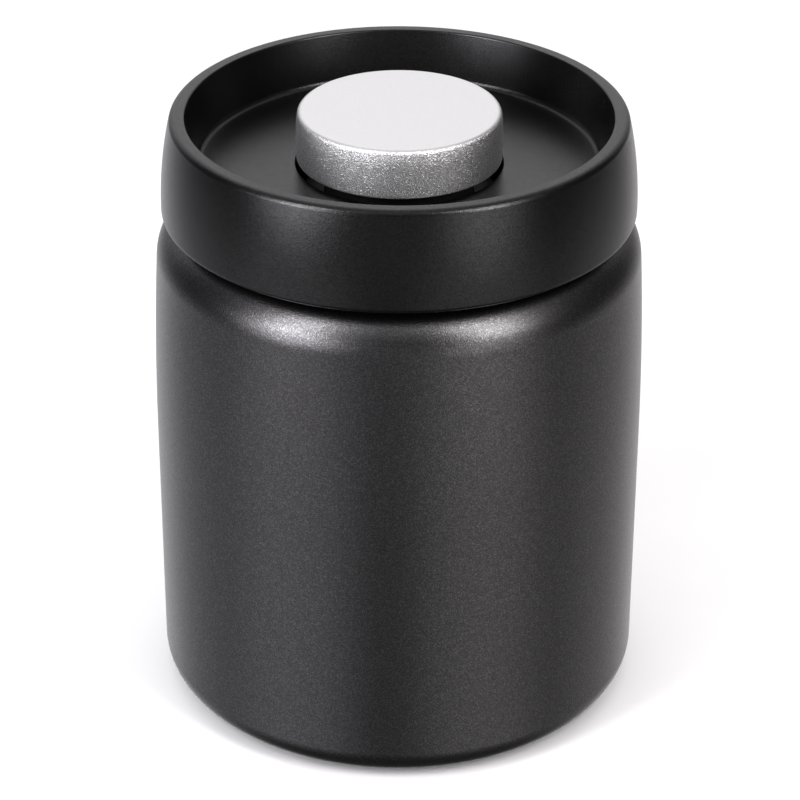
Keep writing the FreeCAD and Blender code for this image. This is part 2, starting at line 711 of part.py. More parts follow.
def plug_ring():
    """Plug: flange over the neck, gasket groove, tapered foot, shelf for the pump plate and four lugs."""
    steps = polygon([
        (PLUG_IN, FLOOR_UNDER),
        (FLANGE_R, FLOOR_UNDER),
        (FLANGE_R, FLANGE_BOTTOM),
        (PLUG_R, FLANGE_BOTTOM),
        (PLUG_R, GROOVE_TOP),
        (GROOVE_R, GROOVE_TOP),
        (GROOVE_R, GROOVE_BOTTOM),
        (PLUG_R, GROOVE_BOTTOM),
        (PLUG_R, f"{GROOVE_BOTTOM} - gasket_drop"),
        (PLUG_LOW_R, f"{GROOVE_BOTTOM} - gasket_drop - plug_taper_height"),
        (PLUG_LOW_R, PLATE_BOTTOM),
        (f"{PLATE_R} + plate_fit_gap", PLATE_BOTTOM),
        (f"{PLATE_R} + plate_fit_gap", PLATE_TOP),
        (PLATE_SEAL_OUT, PLATE_TOP),
        (PLATE_SEAL_OUT, f"{PLATE_TOP} + plate_seal_depth"),
        (PLATE_SEAL_IN, f"{PLATE_TOP} + plate_seal_depth"),
        (PLATE_SEAL_IN, PLATE_TOP),
        (SHELF_IN, PLATE_TOP),
        (SHELF_IN, SHELF_TOP),
        (PLUG_IN, SHELF_TOP),
    ])
    body = turned_body("plug_ring", steps)
    round_edges(body, "foot_edge", "plug_edge_round", [(PLUG_LOW_R, PLATE_BOTTOM)])
    lug_outline = new_sketch(body, "lug_outline", "XY_Plane", LUG_BOTTOM)
    outline(lug_outline, polygon([
        (f"{LUG_CIRCLE} - lug_half_width", "-lug_half_width"),
        (f"{PLUG_IN} + plug_wall / 2", "-lug_half_width"),
        (f"{PLUG_IN} + plug_wall / 2", "lug_half_width"),
        (f"{LUG_CIRCLE} - lug_half_width", "lug_half_width"),
    ]))
    lug = extrude(body, "Pad", lug_outline, "lug_thickness", "lug")
    repeat_round(body, "lugs", [lug], "plug_screw_count")
    lug_hole = round_hole(
        body, "lug_hole", LUG_CIRCLE, "0", "screw_radius + screw_gap",
        f"{LUG_TOP} + overrun", "lug_thickness + 2 * overrun",
    )
    repeat_round(body, "lug_holes", [lug_hole], "plug_screw_count")
    pilot_depth = "screw_bite + screw_end_gap"
    pilot = round_hole(
        body, "pilot", PUMP_SCREW_CIRCLE, "0", "screw_radius + fit_gap",
        f"{PLATE_TOP} + {pilot_depth}", pilot_depth,
    )
    repeat_round(body, "pilots", [pilot], "pump_screw_count")
    return body


def neck_gasket():
    """Two-lip gasket in the plug's groove."""
    lip_r = f"({NECK_IN} - gasket_lip_gap)"
    lip_pitch = "(gasket_height / 2)"
    steps = polygon([(GROOVE_R, GROOVE_TOP), (GROOVE_R, GROOVE_BOTTOM)])
    for foot in (GROOVE_BOTTOM, f"({GROOVE_BOTTOM} + {lip_pitch})"):
        steps += polygon([
            (PLUG_R, foot),
            (lip_r, f"{foot} + {lip_pitch} - gasket_lip_edge - fit_gap"),
            (lip_r, f"{foot} + {lip_pitch} - fit_gap"),
            (PLUG_R, f"{foot} + {lip_pitch} - gasket_lip_edge"),
        ])
    steps += polygon([(PLUG_R, GROOVE_TOP)])
    return turned_body("neck_gasket", steps)


def plate_seal():
    steps = ring_outline(
        f"{PLATE_SEAL_IN} + fit_gap", f"{PLATE_SEAL_OUT} - fit_gap",
        PLATE_TOP, f"{PLATE_TOP} + plate_seal_depth",
    )
    return turned_body("plate_seal", steps)


def screws(label, circle, seat, reach, count):
    """Socket-head screws round a circle, heads down, each from its seat up into its pilot hole."""
    body = new_body(label)
    body.AllowCompound = True
    head_bottom = f"({seat} - screw_head_height)"
    head = round_peg(body, "head", circle, "0", "screw_head_radius", head_bottom, "screw_head_height")
    shank = round_peg(body, "shank", circle, "0", "screw_radius", seat, reach)
    key_top = f"{head_bottom} + screw_key_depth"
    key = round_hole(body, "key", circle, "0", "screw_key_radius", key_top, "screw_key_depth + overrun")
    repeat_round(body, "set", [head, shank, key], count)
    return body


def inlet_flap():
    return turned_body("inlet_flap", ring_outline(FLAP_IN, FLAP_OUT, PLATE_TOP, FLAP_TOP))


def spring_seat():
    """Ring that clamps the flap's inner edge, with a collar that centres the coil."""
    collar_top = f"({SEAT_TOP} + seat_collar_height)"
    steps = polygon([
        (FLAP_IN, FLAP_TOP),
        (SEAT_OUT, FLAP_TOP),
        (SEAT_OUT, SEAT_TOP),
        (SEAT_COLLAR_R, SEAT_TOP),
        (SEAT_COLLAR_R, collar_top),
        (FLAP_IN, collar_top),
    ])
    return turned_body("spring_seat", steps)


def release_disc():
    """Disc valve with a blind square hub, three windows under the inlets and one vent hole."""
    steps = polygon([
        ("0", DISC_BOTTOM),
        (DISC_R, DISC_BOTTOM),
        (DISC_R, DISC_TOP),
        (HUB_R, DISC_TOP),
        (HUB_R, HUB_SEAL_BOTTOM),
        (HUB_SEAL_IN, HUB_SEAL_BOTTOM),
        (HUB_SEAL_IN, HUB_SEAL_TOP),
        (HUB_R, HUB_SEAL_TOP),
        (HUB_R, CLIP_BOTTOM),
        (CLIP_IN, CLIP_BOTTOM),
        (CLIP_IN, CLIP_TOP),
        (HUB_R, CLIP_TOP),
        (HUB_R, HUB_TOP),
        ("0", HUB_TOP),
    ])
    body = turned_body("release_disc", steps)
    socket = new_sketch(body, "socket_outline", "XY_Plane", HUB_TOP)
    square_in(socket, SOCKET_HALF)
    extrude(body, "Pocket", socket, f"{HUB_TOP} - {SOCKET_BOTTOM}", "socket")
    above = f"{DISC_TOP} + disc_gap / 2"
    through = "disc_thickness + disc_gap / 2 + overrun"
    window = new_sketch(body, "window_outline", "XY_Plane", above)
    inner = f"({HUB_R} + disc_window_margin)"
    outer = f"({FLAP_OUT} + disc_window_margin / 2)"
    half = "((360 / disc_window_count - disc_spoke_angle) / 2)"
    outline(window, [
        line_to(f"{outer} * cos({half})", f"-{outer} * sin({half})"),
        arc_to(f"{outer} * cos({half})", f"{outer} * sin({half})", ("0", "0"), "across"),
        line_to(f"{inner} * cos({half})", f"{inner} * sin({half})"),
        arc_to(f"{inner} * cos({half})", f"-{inner} * sin({half})", ("0", "0"), "across"),
    ])
    pocket = extrude(body, "Pocket", window, through, "window")
    repeat_round(body, "windows", [pocket], "disc_window_count")
    across = f"{VENT_CIRCLE} * cos(release_angle)"
    up = f"-{VENT_CIRCLE} * sin(release_angle)"
    round_hole(body, "vent", across, up, "vent_radius", above, through)
    return body


def hub_seal():
    steps = ring_outline(HUB_SEAL_IN, f"{HUB_BORE} - hub_seal_gap", HUB_SEAL_BOTTOM, HUB_SEAL_TOP)
    return turned_body("hub_seal", steps)


def hub_clip():
    """Open clip in the hub's groove, above the pump plate."""
    body = turned_body("hub_clip", ring_outline(CLIP_IN, CLIP_OUT, CLIP_BOTTOM, CLIP_TOP))
    mouth = new_sketch(body, "mouth_outline", "XY_Plane", f"{CLIP_TOP} + overrun")
    outline(mouth, polygon([
        ("0", "-clip_mouth / 2"),
        (f"{CLIP_OUT} + overrun", "-clip_mouth / 2"),
        (f"{CLIP_OUT} + overrun", "clip_mouth / 2"),
        ("0", "clip_mouth / 2"),
    ]))
    extrude(body, "Pocket", mouth, "clip_thickness + 2 * overrun", "mouth")
    return body


def vent_seal():
    """Face seal round the vent port, just clear of the disc."""
    bottom = f"({DISC_TOP} + vent_seal_gap)"
    body = new_body("vent_seal")
    height = f"{VENT_SEAL_TOP} - {bottom}"
    round_peg(body, "disc", VENT_CIRCLE, "0", VENT_SEAL_R, bottom, height)
    round_hole(body, "port", VENT_CIRCLE, "0", "vent_radius", f"{VENT_SEAL_TOP} + overrun",
               f"{height} + 2 * overrun")
    return body


def filter_screen():
    outer = f"{GRILLE_IN} - fit_gap"
    top = f"({SCREEN_BOTTOM} + screen_thickness)"
    return turned_body("filter_screen", polygon([
        ("0", SCREEN_BOTTOM),
        (outer, SCREEN_BOTTOM),
        (outer, top),
        ("0", top),
    ]))


def grille_slot(body, name, inner, outer):
    """A radial slot with round ends through the grille's floor."""
    sketch = new_sketch(body, f"{name}_outline", "XY_Plane", f"{SCREEN_BOTTOM} + overrun")
    width = "grille_slot_half_width"
    outline(sketch, [
        line_to(f"{outer} - {width}", f"-{width}"),
        arc_to(outer, "0", (f"{outer} - {width}", "0"), "across"),
        arc_to(f"{outer} - {width}", width, (f"{outer} - {width}", "0"), "up"),
        line_to(f"{inner} + {width}", width),
        arc_to(inner, "0", (f"{inner} + {width}", "0"), "across"),
        arc_to(f"{inner} + {width}", f"-{width}", (f"{inner} + {width}", "0"), "up"),
    ])
    return extrude(body, "Pocket", sketch, "grille_floor + 2 * overrun", name)


def filter_grille():
    """Slotted cup under the pump plate: two rings of radial slots with a plain rib between them."""
    steps = polygon([
        ("0", GRILLE_BOTTOM),
        (GRILLE_R, GRILLE_BOTTOM),
        (GRILLE_R, PLATE_BOTTOM),
        (GRILLE_IN, PLATE_BOTTOM),
        (GRILLE_IN, SCREEN_BOTTOM),
        ("0", SCREEN_BOTTOM),
    ])
    body = turned_body("filter_grille", steps)
    round_edges(body, "edge", "grille_edge_round", [(GRILLE_R, GRILLE_BOTTOM)])
    far = f"({GRILLE_IN} - grille_slot_margin)"
    middle = f"({far} / 2)"
    near = f"({middle} / 2)"
    outer_slot = grille_slot(body, "outer_slot", f"({middle} + grille_rib_width)", far)
    repeat_round(body, "outer_slots", [outer_slot], "grille_slot_count")
    inner_slot = grille_slot(body, "inner_slot", near, middle)
    repeat_round(body, "inner_slots", [inner_slot], "grille_slot_count / 2")
    return body


def arc_from(start, heading, end):
    """The arc that leaves a point along a heading and ends at another point."""
    chord = end - start
    along = FreeCAD.Vector(chord).normalize()
    side = heading - along * heading.dot(along)
    half_turn = math.atan2(side.Length, heading.dot(along))
    bulge = side.normalize() * (chord.Length / 2 * math.tan(half_turn / 2))
    return Part.Arc(start, start + chord / 2 + bulge, end).toShape()


def biarc(start, heading, end, end_heading):
    """Two arcs, tangent to each other, between two points with given headings."""
    gap = end - start
    spread = 2 * (1 - heading.dot(end_heading))
    lean = gap.dot(heading + end_heading)
    reach = (math.sqrt(lean * lean + spread * gap.dot(gap)) - lean) / spread
    middle = (start + end + (heading - end_heading) * reach) / 2
    return [arc_from(start, heading, middle), arc_from(end, end_heading * -1, middle)]


def coil_height(turns):
    """Height of the wire's middle after a number of turns: close end turns, open turns between."""
    wire = 2 * value("wire_radius")
    total = SIZES["coil_count"] + 2
    end_pitch = wire + value("coil_end_gap")
    bottom = value(SEAT_TOP) + value("wire_radius")
    height = value(CEILING) - value("wire_radius") - bottom
    extra = height - end_pitch * total
    share = min(max((turns - 1) / (total - 2), 0), 1)
    # The open turns ease in and out, so the wire never kinks where the pitch changes.
    return bottom + end_pitch * turns + extra * (share - math.sin(2 * math.pi * share) / (2 * math.pi))


def coil_point(turns):
    angle = 2 * math.pi * turns
    radius = value(COIL_R)
    return FreeCAD.Vector(radius * math.cos(angle), radius * math.sin(angle), coil_height(turns))


def coil_heading(turns, step=1e-4):
    return (coil_point(turns + step) - coil_point(turns - step)).normalize()


def return_spring():
    """One unbroken coil of round wire, on biarcs of a quarter turn."""
    quarters = 4 * (SIZES["coil_count"] + 2)
    stations = [quarter / 4 for quarter in range(quarters + 1)]
    arcs = []
    for start, end in zip(stations, stations[1:]):
        first, second = biarc(coil_point(start), coil_heading(start), coil_point(end), coil_heading(end))
        arcs += [first, second]
    path = Part.Wire(Part.__sortEdges__(arcs))
    section = Part.Circle(coil_point(0), coil_heading(0), value("wire_radius"))
    pipe = Part.BRepOffsetAPI.MakePipeShell(path)
    pipe.add(Part.Wire(section.toShape()))
    pipe.build()
    pipe.makeSolid()
    feature = doc.addObject("Part::Feature", "return_spring")
    feature.Label = "return_spring"
    feature.Shape = pipe.shape()
    feature.Placement = FreeCAD.Placement()
    samples = [station + part for station in stations[:-1] for part in (0, 0.125)]
    least = min(
        (coil_point(a) - coil_point(b)).Length for a in samples for b in samples if b - a > 0.5
    )
    print(f"return_spring: least gap to itself {least - 2 * value('wire_radius'):.2f} mm")
    return feature


def build():
    """Every sub-part, in the order in which it is assembled."""
    return [
        canister_shell(),
        base_pad(),
        lid_shell(),
        plug_ring(),
        screws("plug_screws", LUG_CIRCLE, LUG_BOTTOM, "lug_thickness + screw_bite", "plug_screw_count"),
        neck_gasket(),
        pump_body(),
        plate_seal(),
        screws(
            "pump_screws", PUMP_SCREW_CIRCLE, PLATE_BOTTOM,
            "plate_thickness + screw_bite", "pump_screw_count",
        ),
        stop_ring(),
        inlet_flap(),
        spring_seat(),
        return_spring(),
        plunger(),
        drive_stem(),
        piston_seal(),
        seal_retainer(),
        button_cap(),
        release_disc(),
        hub_seal(),
        hub_clip(),
        vent_seal(),
        filter_screen(),
        filter_grille(),
    ]


def write(pieces):
    """Check the whole document, then write one STEP file per sub-part."""
    doc.recompute()
    for item in doc.Objects:
        if "Invalid" in item.State or "Error" in item.State:
            raise RuntimeError(f"{item.Name} failed: {item.State}")
    for piece in pieces:
        if piece.Shape.isNull() or not piece.Shape.isValid():
            raise RuntimeError(f"{piece.Label} has no valid shape")
    os.makedirs("parts", exist_ok=True)
    for piece in pieces:
        piece.Shape.exportStep(f"parts/{piece.Label}.step")
        print(f"{piece.Label}: {len(piece.Shape.Solids)} solid(s), {piece.Shape.Volume:.1f} mm3")


write(build())
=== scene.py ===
import math

import bpy
from mathutils import Matrix, Vector

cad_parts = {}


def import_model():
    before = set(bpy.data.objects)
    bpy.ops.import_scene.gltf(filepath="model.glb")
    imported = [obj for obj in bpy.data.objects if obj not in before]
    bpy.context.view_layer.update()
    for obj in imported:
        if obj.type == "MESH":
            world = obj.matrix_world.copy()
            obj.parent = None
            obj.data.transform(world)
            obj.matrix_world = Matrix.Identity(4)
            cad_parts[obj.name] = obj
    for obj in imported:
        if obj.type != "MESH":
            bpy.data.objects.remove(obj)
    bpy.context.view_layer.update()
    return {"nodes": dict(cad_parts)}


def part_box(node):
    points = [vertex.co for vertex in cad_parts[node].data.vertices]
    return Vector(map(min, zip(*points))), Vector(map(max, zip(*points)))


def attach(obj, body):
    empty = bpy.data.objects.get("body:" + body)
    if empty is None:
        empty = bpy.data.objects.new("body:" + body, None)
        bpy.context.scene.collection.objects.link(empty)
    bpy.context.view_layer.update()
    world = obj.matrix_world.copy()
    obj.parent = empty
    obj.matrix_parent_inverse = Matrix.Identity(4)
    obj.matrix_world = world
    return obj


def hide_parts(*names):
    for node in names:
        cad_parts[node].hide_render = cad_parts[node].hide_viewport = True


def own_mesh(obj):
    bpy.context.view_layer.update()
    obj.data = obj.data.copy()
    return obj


# Looks of the vacuum seal canister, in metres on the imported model's own frame.
# Outlines are written in millimetres, as (radius, height), and scaled when they are turned.
# A corner with a third number is rounded: a value named EDGE or ROUND is such a radius.
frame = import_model()
MM = 0.001

# Points along arcs and around turned pieces
CORNER_STEPS = 8
SMALL_CORNER_STEPS = 4
SEAL_CORNER_STEPS = 5
LONG_ARC_STEPS = 16
SHOULDER_STEPS = 24
BEAD_STEPS = 20
LID_SIDE_STEPS = 14
SEGMENTS = 256
RING_SEGMENTS = 192
SMALL_SEGMENTS = 64
BOSS_SEGMENTS = 48


def span(node):
    """Outer radius, lowest and highest level of a CAD node, in millimetres."""
    low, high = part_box(node)
    return high.x / MM, low.z / MM, high.z / MM


# Vessel
BODY_R, FOOT, NECK_TOP = span("canister_shell")
STEEL_WALL = 0.9
BASE_ROUND = 7.0
FOOT_WIDTH = 3.0
SEAT_EDGE = 0.6
SHOULDER_BEND = 670.0
SHOULDER_ANGLE = math.radians(3.4)
SHOULDER_ROUND = 9.3
NECK_INSET = 7.03
NECK_HEIGHT = 7.69
NECK_EDGE = 0.4
NECK_RUNOUT = 6
BEAD_R = 1.0
DOWN_FACING = -0.5
NECK_R = BODY_R - NECK_INSET
NECK_IN = NECK_R - STEEL_WALL
NECK_FOOT = NECK_TOP - NECK_HEIGHT
ROUND_R = BODY_R - SHOULDER_BEND + (SHOULDER_BEND - SHOULDER_ROUND) * math.cos(SHOULDER_ANGLE)
ROUND_Z = NECK_FOOT - math.sqrt(SHOULDER_ROUND ** 2 - (NECK_R - ROUND_R) ** 2)
SHOULDER = ROUND_Z - (SHOULDER_BEND - SHOULDER_ROUND) * math.sin(SHOULDER_ANGLE)
FOOT_IN = BODY_R - BASE_ROUND - FOOT_WIDTH

# Soft foot
PAD_TOP = 2.0
PAD_GAP = 0.3
PAD_EDGE = 0.5
PAD_TOP_EDGE = 0.3
GROOVE_COUNT = 3
GROOVE_PITCH = 9.0
GROOVE_WIDTH = 1.5
GROOVE_DEPTH = 0.6
GROOVE_EDGE = 0.2
GROOVE_ROUND = 0.25
PAD_SEAT_R = FOOT_IN - PAD_TOP + FOOT

# Lid
LID_R, LID_BOTTOM, LID_TOP = span("lid_shell")
LID_BOW = 84.0
LID_WIDEST_RISE = 1.55
LID_EDGE = 1.2
DISH_DEPTH = 11.0
DISH_TAPER = 2.4
DISH_WALL = 2.0
DISH_ROUND = 1.4
FLOOR_THICKNESS = 2.2
RIM_WIDTH = 3.05
RIM_ROUND = 1.5
RIM_EDGE = 0.45
SKIRT_WALL = 2.2
SKIRT_TAPER = 0.9
SKIRT_EDGE = 0.3
HOLLOW_RISE = 2.5
HOLLOW_ROUND = 0.4
COLLAR_WALL = 1.8
COLLAR_DEPTH = 7.0
COLLAR_EDGE = 0.3
LID_WIDEST = LID_BOTTOM + LID_WIDEST_RISE
FLOOR = LID_TOP - DISH_DEPTH
FLOOR_UNDER = FLOOR - FLOOR_THICKNESS
BOW_R = LID_R - LID_BOW
RIM_OUT = BOW_R + math.sqrt(LID_BOW ** 2 - (LID_TOP - LID_WIDEST) ** 2)
RIM_IN = RIM_OUT - RIM_WIDTH
DISH_R = RIM_IN - DISH_TAPER

# Plug, and the screw bosses that hold it under the lid
PLUG_GAP = 1.2
GASKET_DEPTH = 2.0
PLUG_WALL = 2.4
BOSS_COUNT = 4
BOSS_INSET = 4.0
BOSS_R = 3.1
BOSS_HEIGHT = 5.5
BOSS_EDGE = 0.3
PILOT_R = 1.15
PILOT_DEPTH = 4.3
PILOT_EDGE = 0.2
PLUG_R = NECK_IN - PLUG_GAP
GASKET_SEAT_R = PLUG_R - GASKET_DEPTH
BOSS_CIRCLE = GASKET_SEAT_R - PLUG_WALL - BOSS_INSET

# Button and its well
BUTTON_R, CAP_BOTTOM, CAP_TOP = span("button_cap")
CAP_WALL = 1.5
CAP_THICKNESS = 2.0
CAP_EDGE = 0.4
CAP_INNER_EDGE = 0.3
CAP_INNER_ROUND = 0.2
BUTTON_ROUND = 1.1
BUTTON_LEAN = 0.32
LEAN_HEIGHT = 2.8
LEAN_ROUND = 20.0
TOP_FACING = 0.8
WELL_GAP = 0.15
WELL_EDGE = 0.3
CAP_IN = BUTTON_R - CAP_WALL
PLUNGER_TOP = CAP_TOP - CAP_THICKNESS
WELL_R = BUTTON_R + WELL_GAP

# Return spring
WIRE_R = 0.6
COIL_TURNS = 9
COIL_END_GAP = 0.6
POINTS_PER_TURN = 72
POINTS_AROUND_WIRE = 14


def arc(centre, radius, start, end, steps):
    """Points on an arc about a centre, from one angle to another in degrees."""
    turns = [math.radians(start + (end - start) * k / steps) for k in range(steps + 1)]
    return [(centre[0] + radius * math.cos(t), centre[1] + radius * math.sin(t)) for t in turns]


def rounded(corners, steps=CORNER_STEPS):
    """Closed outline through (radius, height) or (radius, height, rounding) corners."""
    points = []
    for i, corner in enumerate(corners):
        here = Vector(corner[:2])
        if len(corner) == 2:
            points.append(here)
            continue
        back = (Vector(corners[i - 1][:2]) - here).normalized()
        ahead = (Vector(corners[(i + 1) % len(corners)][:2]) - here).normalized()
        half = back.angle(ahead) / 2
        middle = here + (back + ahead).normalized() * (corner[2] / math.sin(half))
        first = here + back * (corner[2] / math.tan(half)) - middle
        last = here + ahead * (corner[2] / math.tan(half)) - middle
        sweep = -first.angle_signed(last)
        points += [middle + Matrix.Rotation(sweep * k / steps, 2) @ first for k in range(steps + 1)]
    return points


def finish_mesh(name, verts, faces, materials, slot_of=None):
    """A smooth object whose normals follow its larger faces."""
    mesh = bpy.data.meshes.new(name)
    mesh.from_pydata(verts, [], faces)
    for material in materials:
        mesh.materials.append(material)
    sums = [Vector() for _ in verts]
    for face in mesh.polygons:
        face.use_smooth = True
        if slot_of:
            face.material_index = slot_of(face.center, face.normal)
        for corner in face.vertices:
            sums[corner] += face.normal * face.area
    mesh.normals_split_custom_set_from_vertices([total.normalized() for total in sums])
    piece = bpy.data.objects.new(name, mesh)
    bpy.context.scene.collection.objects.link(piece)
    return piece


def lathe(name, outline, materials, slot_of=None, centre=(0, 0), segments=SEGMENTS):
    """Turn a closed outline, anticlockwise in (radius, height), about a vertical axis."""
    verts, rings, faces = [], [], []
    for radius, height in outline:
        on_axis = radius < 1e-9
        count = 1 if on_axis else segments
        rings.append([len(verts) + k % count for k in range(segments + 1)])
        for k in range(count):
            turn = 2 * math.pi * k / segments
            across = radius * math.cos(turn)
            along = radius * math.sin(turn)
            verts.append(Vector((centre[0] + across, centre[1] + along, height)) * MM)
    for low, high in zip(rings, rings[1:] + rings[:1]):
        for k in range(segments):
            ring = [low[k], low[k + 1], high[k + 1], high[k]]
            corners = list(dict.fromkeys(ring))
            if len(corners) > 2:
                faces.append(corners)
    return finish_mesh(name, verts, faces, materials, slot_of)


def new_material(name):
    """A node material with its object coordinates, ready for detail."""
    made = bpy.data.materials.new(name)
    made.use_nodes = True
    tree = made.node_tree
    shader = tree.nodes["Principled BSDF"]
    place = tree.nodes.new("ShaderNodeTexCoord").outputs["Object"]
    return made, tree, shader, place


def noise(tree, place, scale, detail=2.0, rough=0.5):
    """Cloudy value from 0 to 1, with a number of features per metre."""
    node = tree.nodes.new("ShaderNodeTexNoise")
    node.inputs["Scale"].default_value = scale
    node.inputs["Detail"].default_value = detail
    node.inputs["Roughness"].default_value = rough
    tree.links.new(place, node.inputs["Vector"])
    return node.outputs["Fac"]


def grains(tree, place, scale):
    """A random value per tiny cell, with a number of cells per metre."""
    node = tree.nodes.new("ShaderNodeTexVoronoi")
    node.inputs["Scale"].default_value = scale
    tree.links.new(place, node.inputs["Vector"])
    parts = tree.nodes.new("ShaderNodeSeparateColor")
    tree.links.new(node.outputs["Color"], parts.inputs["Color"])
    return parts.outputs["Red"]


def colour_ramp(tree, value, stops):
    """Colour that runs through (position, colour) stops as a value goes from 0 to 1."""
    node = tree.nodes.new("ShaderNodeValToRGB")
    while len(node.color_ramp.elements) < len(stops):
        node.color_ramp.elements.new(0.5)
    for element, (position, shade) in zip(node.color_ramp.elements, stops):
        element.position = position
        element.color = (*shade, 1)
    tree.links.new(value, node.inputs["Fac"])
    return node.outputs["Color"]


def spread(tree, value, start, end):
    """Map a 0 to 1 value onto a range."""
    node = tree.nodes.new("ShaderNodeMapRange")
    node.inputs["To Min"].default_value = start
    node.inputs["To Max"].default_value = end
    tree.links.new(value, node.inputs["Value"])
    return node.outputs["Result"]


def math_node(tree, operation, *values):
    """Result of one operation on linked values."""
    node = tree.nodes.new("ShaderNodeMath")
    node.operation = operation
    for socket, value in zip(node.inputs, values):
        tree.links.new(value, socket)
    return node.outputs["Value"]


def colour(tree, shader, value, stops):
    """Base colour that follows a value through its stops."""
    tree.links.new(colour_ramp(tree, value, stops), shader.inputs["Base Color"])


def roughness(tree, shader, value, start, end):
    """Roughness that follows a value over a range."""
    tree.links.new(spread(tree, value, start, end), shader.inputs["Roughness"])


def bump(tree, shader, height, depth, strength=1.0):
    """Fine relief, with its depth in metres."""
    node = tree.nodes.new("ShaderNodeBump")
    node.inputs["Distance"].default_value = depth
    node.inputs["Strength"].default_value = strength
    tree.links.new(height, node.inputs["Height"])
    tree.links.new(node.outputs["Normal"], shader.inputs["Normal"])


def grey(level, tint=(1, 1, 1)):
    return tuple(level * t for t in tint)


def gunmetal_coat():
    """Metallic powder coat: dark, with fine flakes of different shade and gloss."""
    made, tree, shader, place = new_material("gunmetal_coat")
    flakes = grains(tree, place, scale=5600)
    tint = (1.0, 0.985, 1.0)
    shades = [(0.0, grey(0.065, tint)), (0.65, grey(0.092, tint)), (1.0, grey(0.16, tint))]
    colour(tree, shader, flakes, shades)
    roughness(tree, shader, flakes, start=0.32, end=0.28)
    shader.inputs["Metallic"].default_value = 1.0
    bump(tree, shader, noise(tree, place, scale=4000, detail=0.0), depth=0.00003)
    return made


def satin_black():
    """Soft satin paint on the lid, with a grain of varying reflection."""
    made, tree, shader, place = new_material("satin_black")
    specks = noise(tree, place, scale=4500, detail=0.0)
    colour(tree, shader, specks, [(0.3, grey(0.0008)), (0.7, grey(0.0014))])
    roughness(tree, shader, noise(tree, place, scale=900), start=0.23, end=0.27)
    dull, bright = 0.27, 0.59
    shader.inputs["Specular IOR Level"].default_value = (dull + bright) / 2
    grain = spread(tree, grains(tree, place, scale=5600), dull, bright)
    tree.links.new(grain, shader.inputs["Specular IOR Level"])
    bump(tree, shader, specks, depth=0.000025)
    return made


def aluminium(name, pit, crest, rough, depth):
    """Clear anodised aluminium, with pits from the blasting in darker, rougher grains."""
    made, tree, shader, place = new_material(name)
    scale = 5200
    smoothing = 0.1
    between = (pit + 2 * crest) / 3
    pits = grains(tree, place, scale)
    colour(tree, shader, pits, [(0.0, grey(pit)), (0.65, grey(between)), (1.0, grey(crest))])
    shader.inputs["Metallic"].default_value = 1.0
    roughness(tree, shader, pits, start=rough, end=rough - smoothing)
    bump(tree, shader, noise(tree, place, scale, detail=0.0), depth)
    return made


def turned_lines(tree, place, scale):
    """Fine rings about the vertical axis, as a lathe or brush leaves them."""
    parts = tree.nodes.new("ShaderNodeSeparateXYZ")
    tree.links.new(place, parts.inputs["Vector"])
    flat = tree.nodes.new("ShaderNodeCombineXYZ")
    tree.links.new(parts.outputs["X"], flat.inputs["X"])
    tree.links.new(parts.outputs["Y"], flat.inputs["Y"])
    reach = tree.nodes.new("ShaderNodeVectorMath")
    reach.operation = "LENGTH"
    tree.links.new(flat.outputs["Vector"], reach.inputs[0])
    rings = tree.nodes.new("ShaderNodeCombineXYZ")
    tree.links.new(reach.outputs["Value"], rings.inputs["X"])
    tree.links.new(parts.outputs["Z"], rings.inputs["Y"])
    return noise(tree, rings.outputs["Vector"], scale, detail=3.0, rough=0.6)


def steel(name, level, rough):
    """Bare steel with turned lines."""
    made, tree, shader, place = new_material(name)
    lines = turned_lines(tree, place, scale=1400)
    dark_share, rougher = 0.78, 0.14
    colour(tree, shader, lines, [(0.25, grey(level * dark_share)), (0.75, grey(level))])
    shader.inputs["Metallic"].default_value = 1.0
    roughness(tree, shader, lines, start=rough, end=rough + rougher)
    bump(tree, shader, lines, depth=0.00002, strength=0.2)
    return made


def moulding():
    """Spark-eroded black plastic of the inner pieces."""
    made, tree, shader, place = new_material("black_moulding")
    texture = noise(tree, place, scale=2600, detail=3.0)
    colour(tree, shader, texture, [(0.3, grey(0.012)), (0.75, grey(0.024))])
    roughness(tree, shader, texture, start=0.42, end=0.58)
    bump(tree, shader, texture, depth=0.00004, strength=0.3)
    return made


def silicone():
    """Soft grey rubber of the seals and the foot."""
    made, tree, shader, place = new_material("grey_silicone")
    dust = noise(tree, place, scale=1800, detail=4.0)
    colour(tree, shader, dust, [(0.3, grey(0.30)), (0.8, grey(0.38))])
    roughness(tree, shader, dust, start=0.55, end=0.7)
    shader.inputs["Subsurface Weight"].default_value = 0.15
    shader.inputs["Subsurface Radius"].default_value = (0.002, 0.002, 0.002)
    bump(tree, shader, dust, depth=0.00003, strength=0.2)
    return made


def woven_screen():
    """Fine wire cloth, drawn as crossing waves."""
    made, tree, shader, place = new_material("wire_cloth")
    heights = []
    for axis in ("X", "Y"):
        wave = tree.nodes.new("ShaderNodeTexWave")
        wave.bands_direction = axis
        wave.inputs["Scale"].default_value = 420
        tree.links.new(place, wave.inputs["Vector"])
        heights.append(wave.outputs["Fac"])
    weave = math_node(tree, "MAXIMUM", *heights)
    colour(tree, shader, weave, [(0.35, grey(0.05)), (0.9, grey(0.6))])
    shader.inputs["Metallic"].default_value = 1.0
    shader.inputs["Roughness"].default_value = 0.35
    bump(tree, shader, weave, depth=0.0001, strength=0.6)
    return made


COAT = gunmetal_coat()
LID_PAINT = satin_black()
BLASTED = aluminium("blasted_aluminium", pit=0.46, crest=1.0, rough=0.48, depth=0.00012)
SMOOTH = aluminium("smooth_aluminium", pit=0.76, crest=0.79, rough=0.44, depth=0.00002)
INSIDE = steel("turned_steel", level=0.62, rough=0.24)
BARE_STEEL = steel("bare_steel", level=0.7, rough=0.2)
MOULDING = moulding()
SILICONE = silicone()
WIRE_CLOTH = woven_screen()


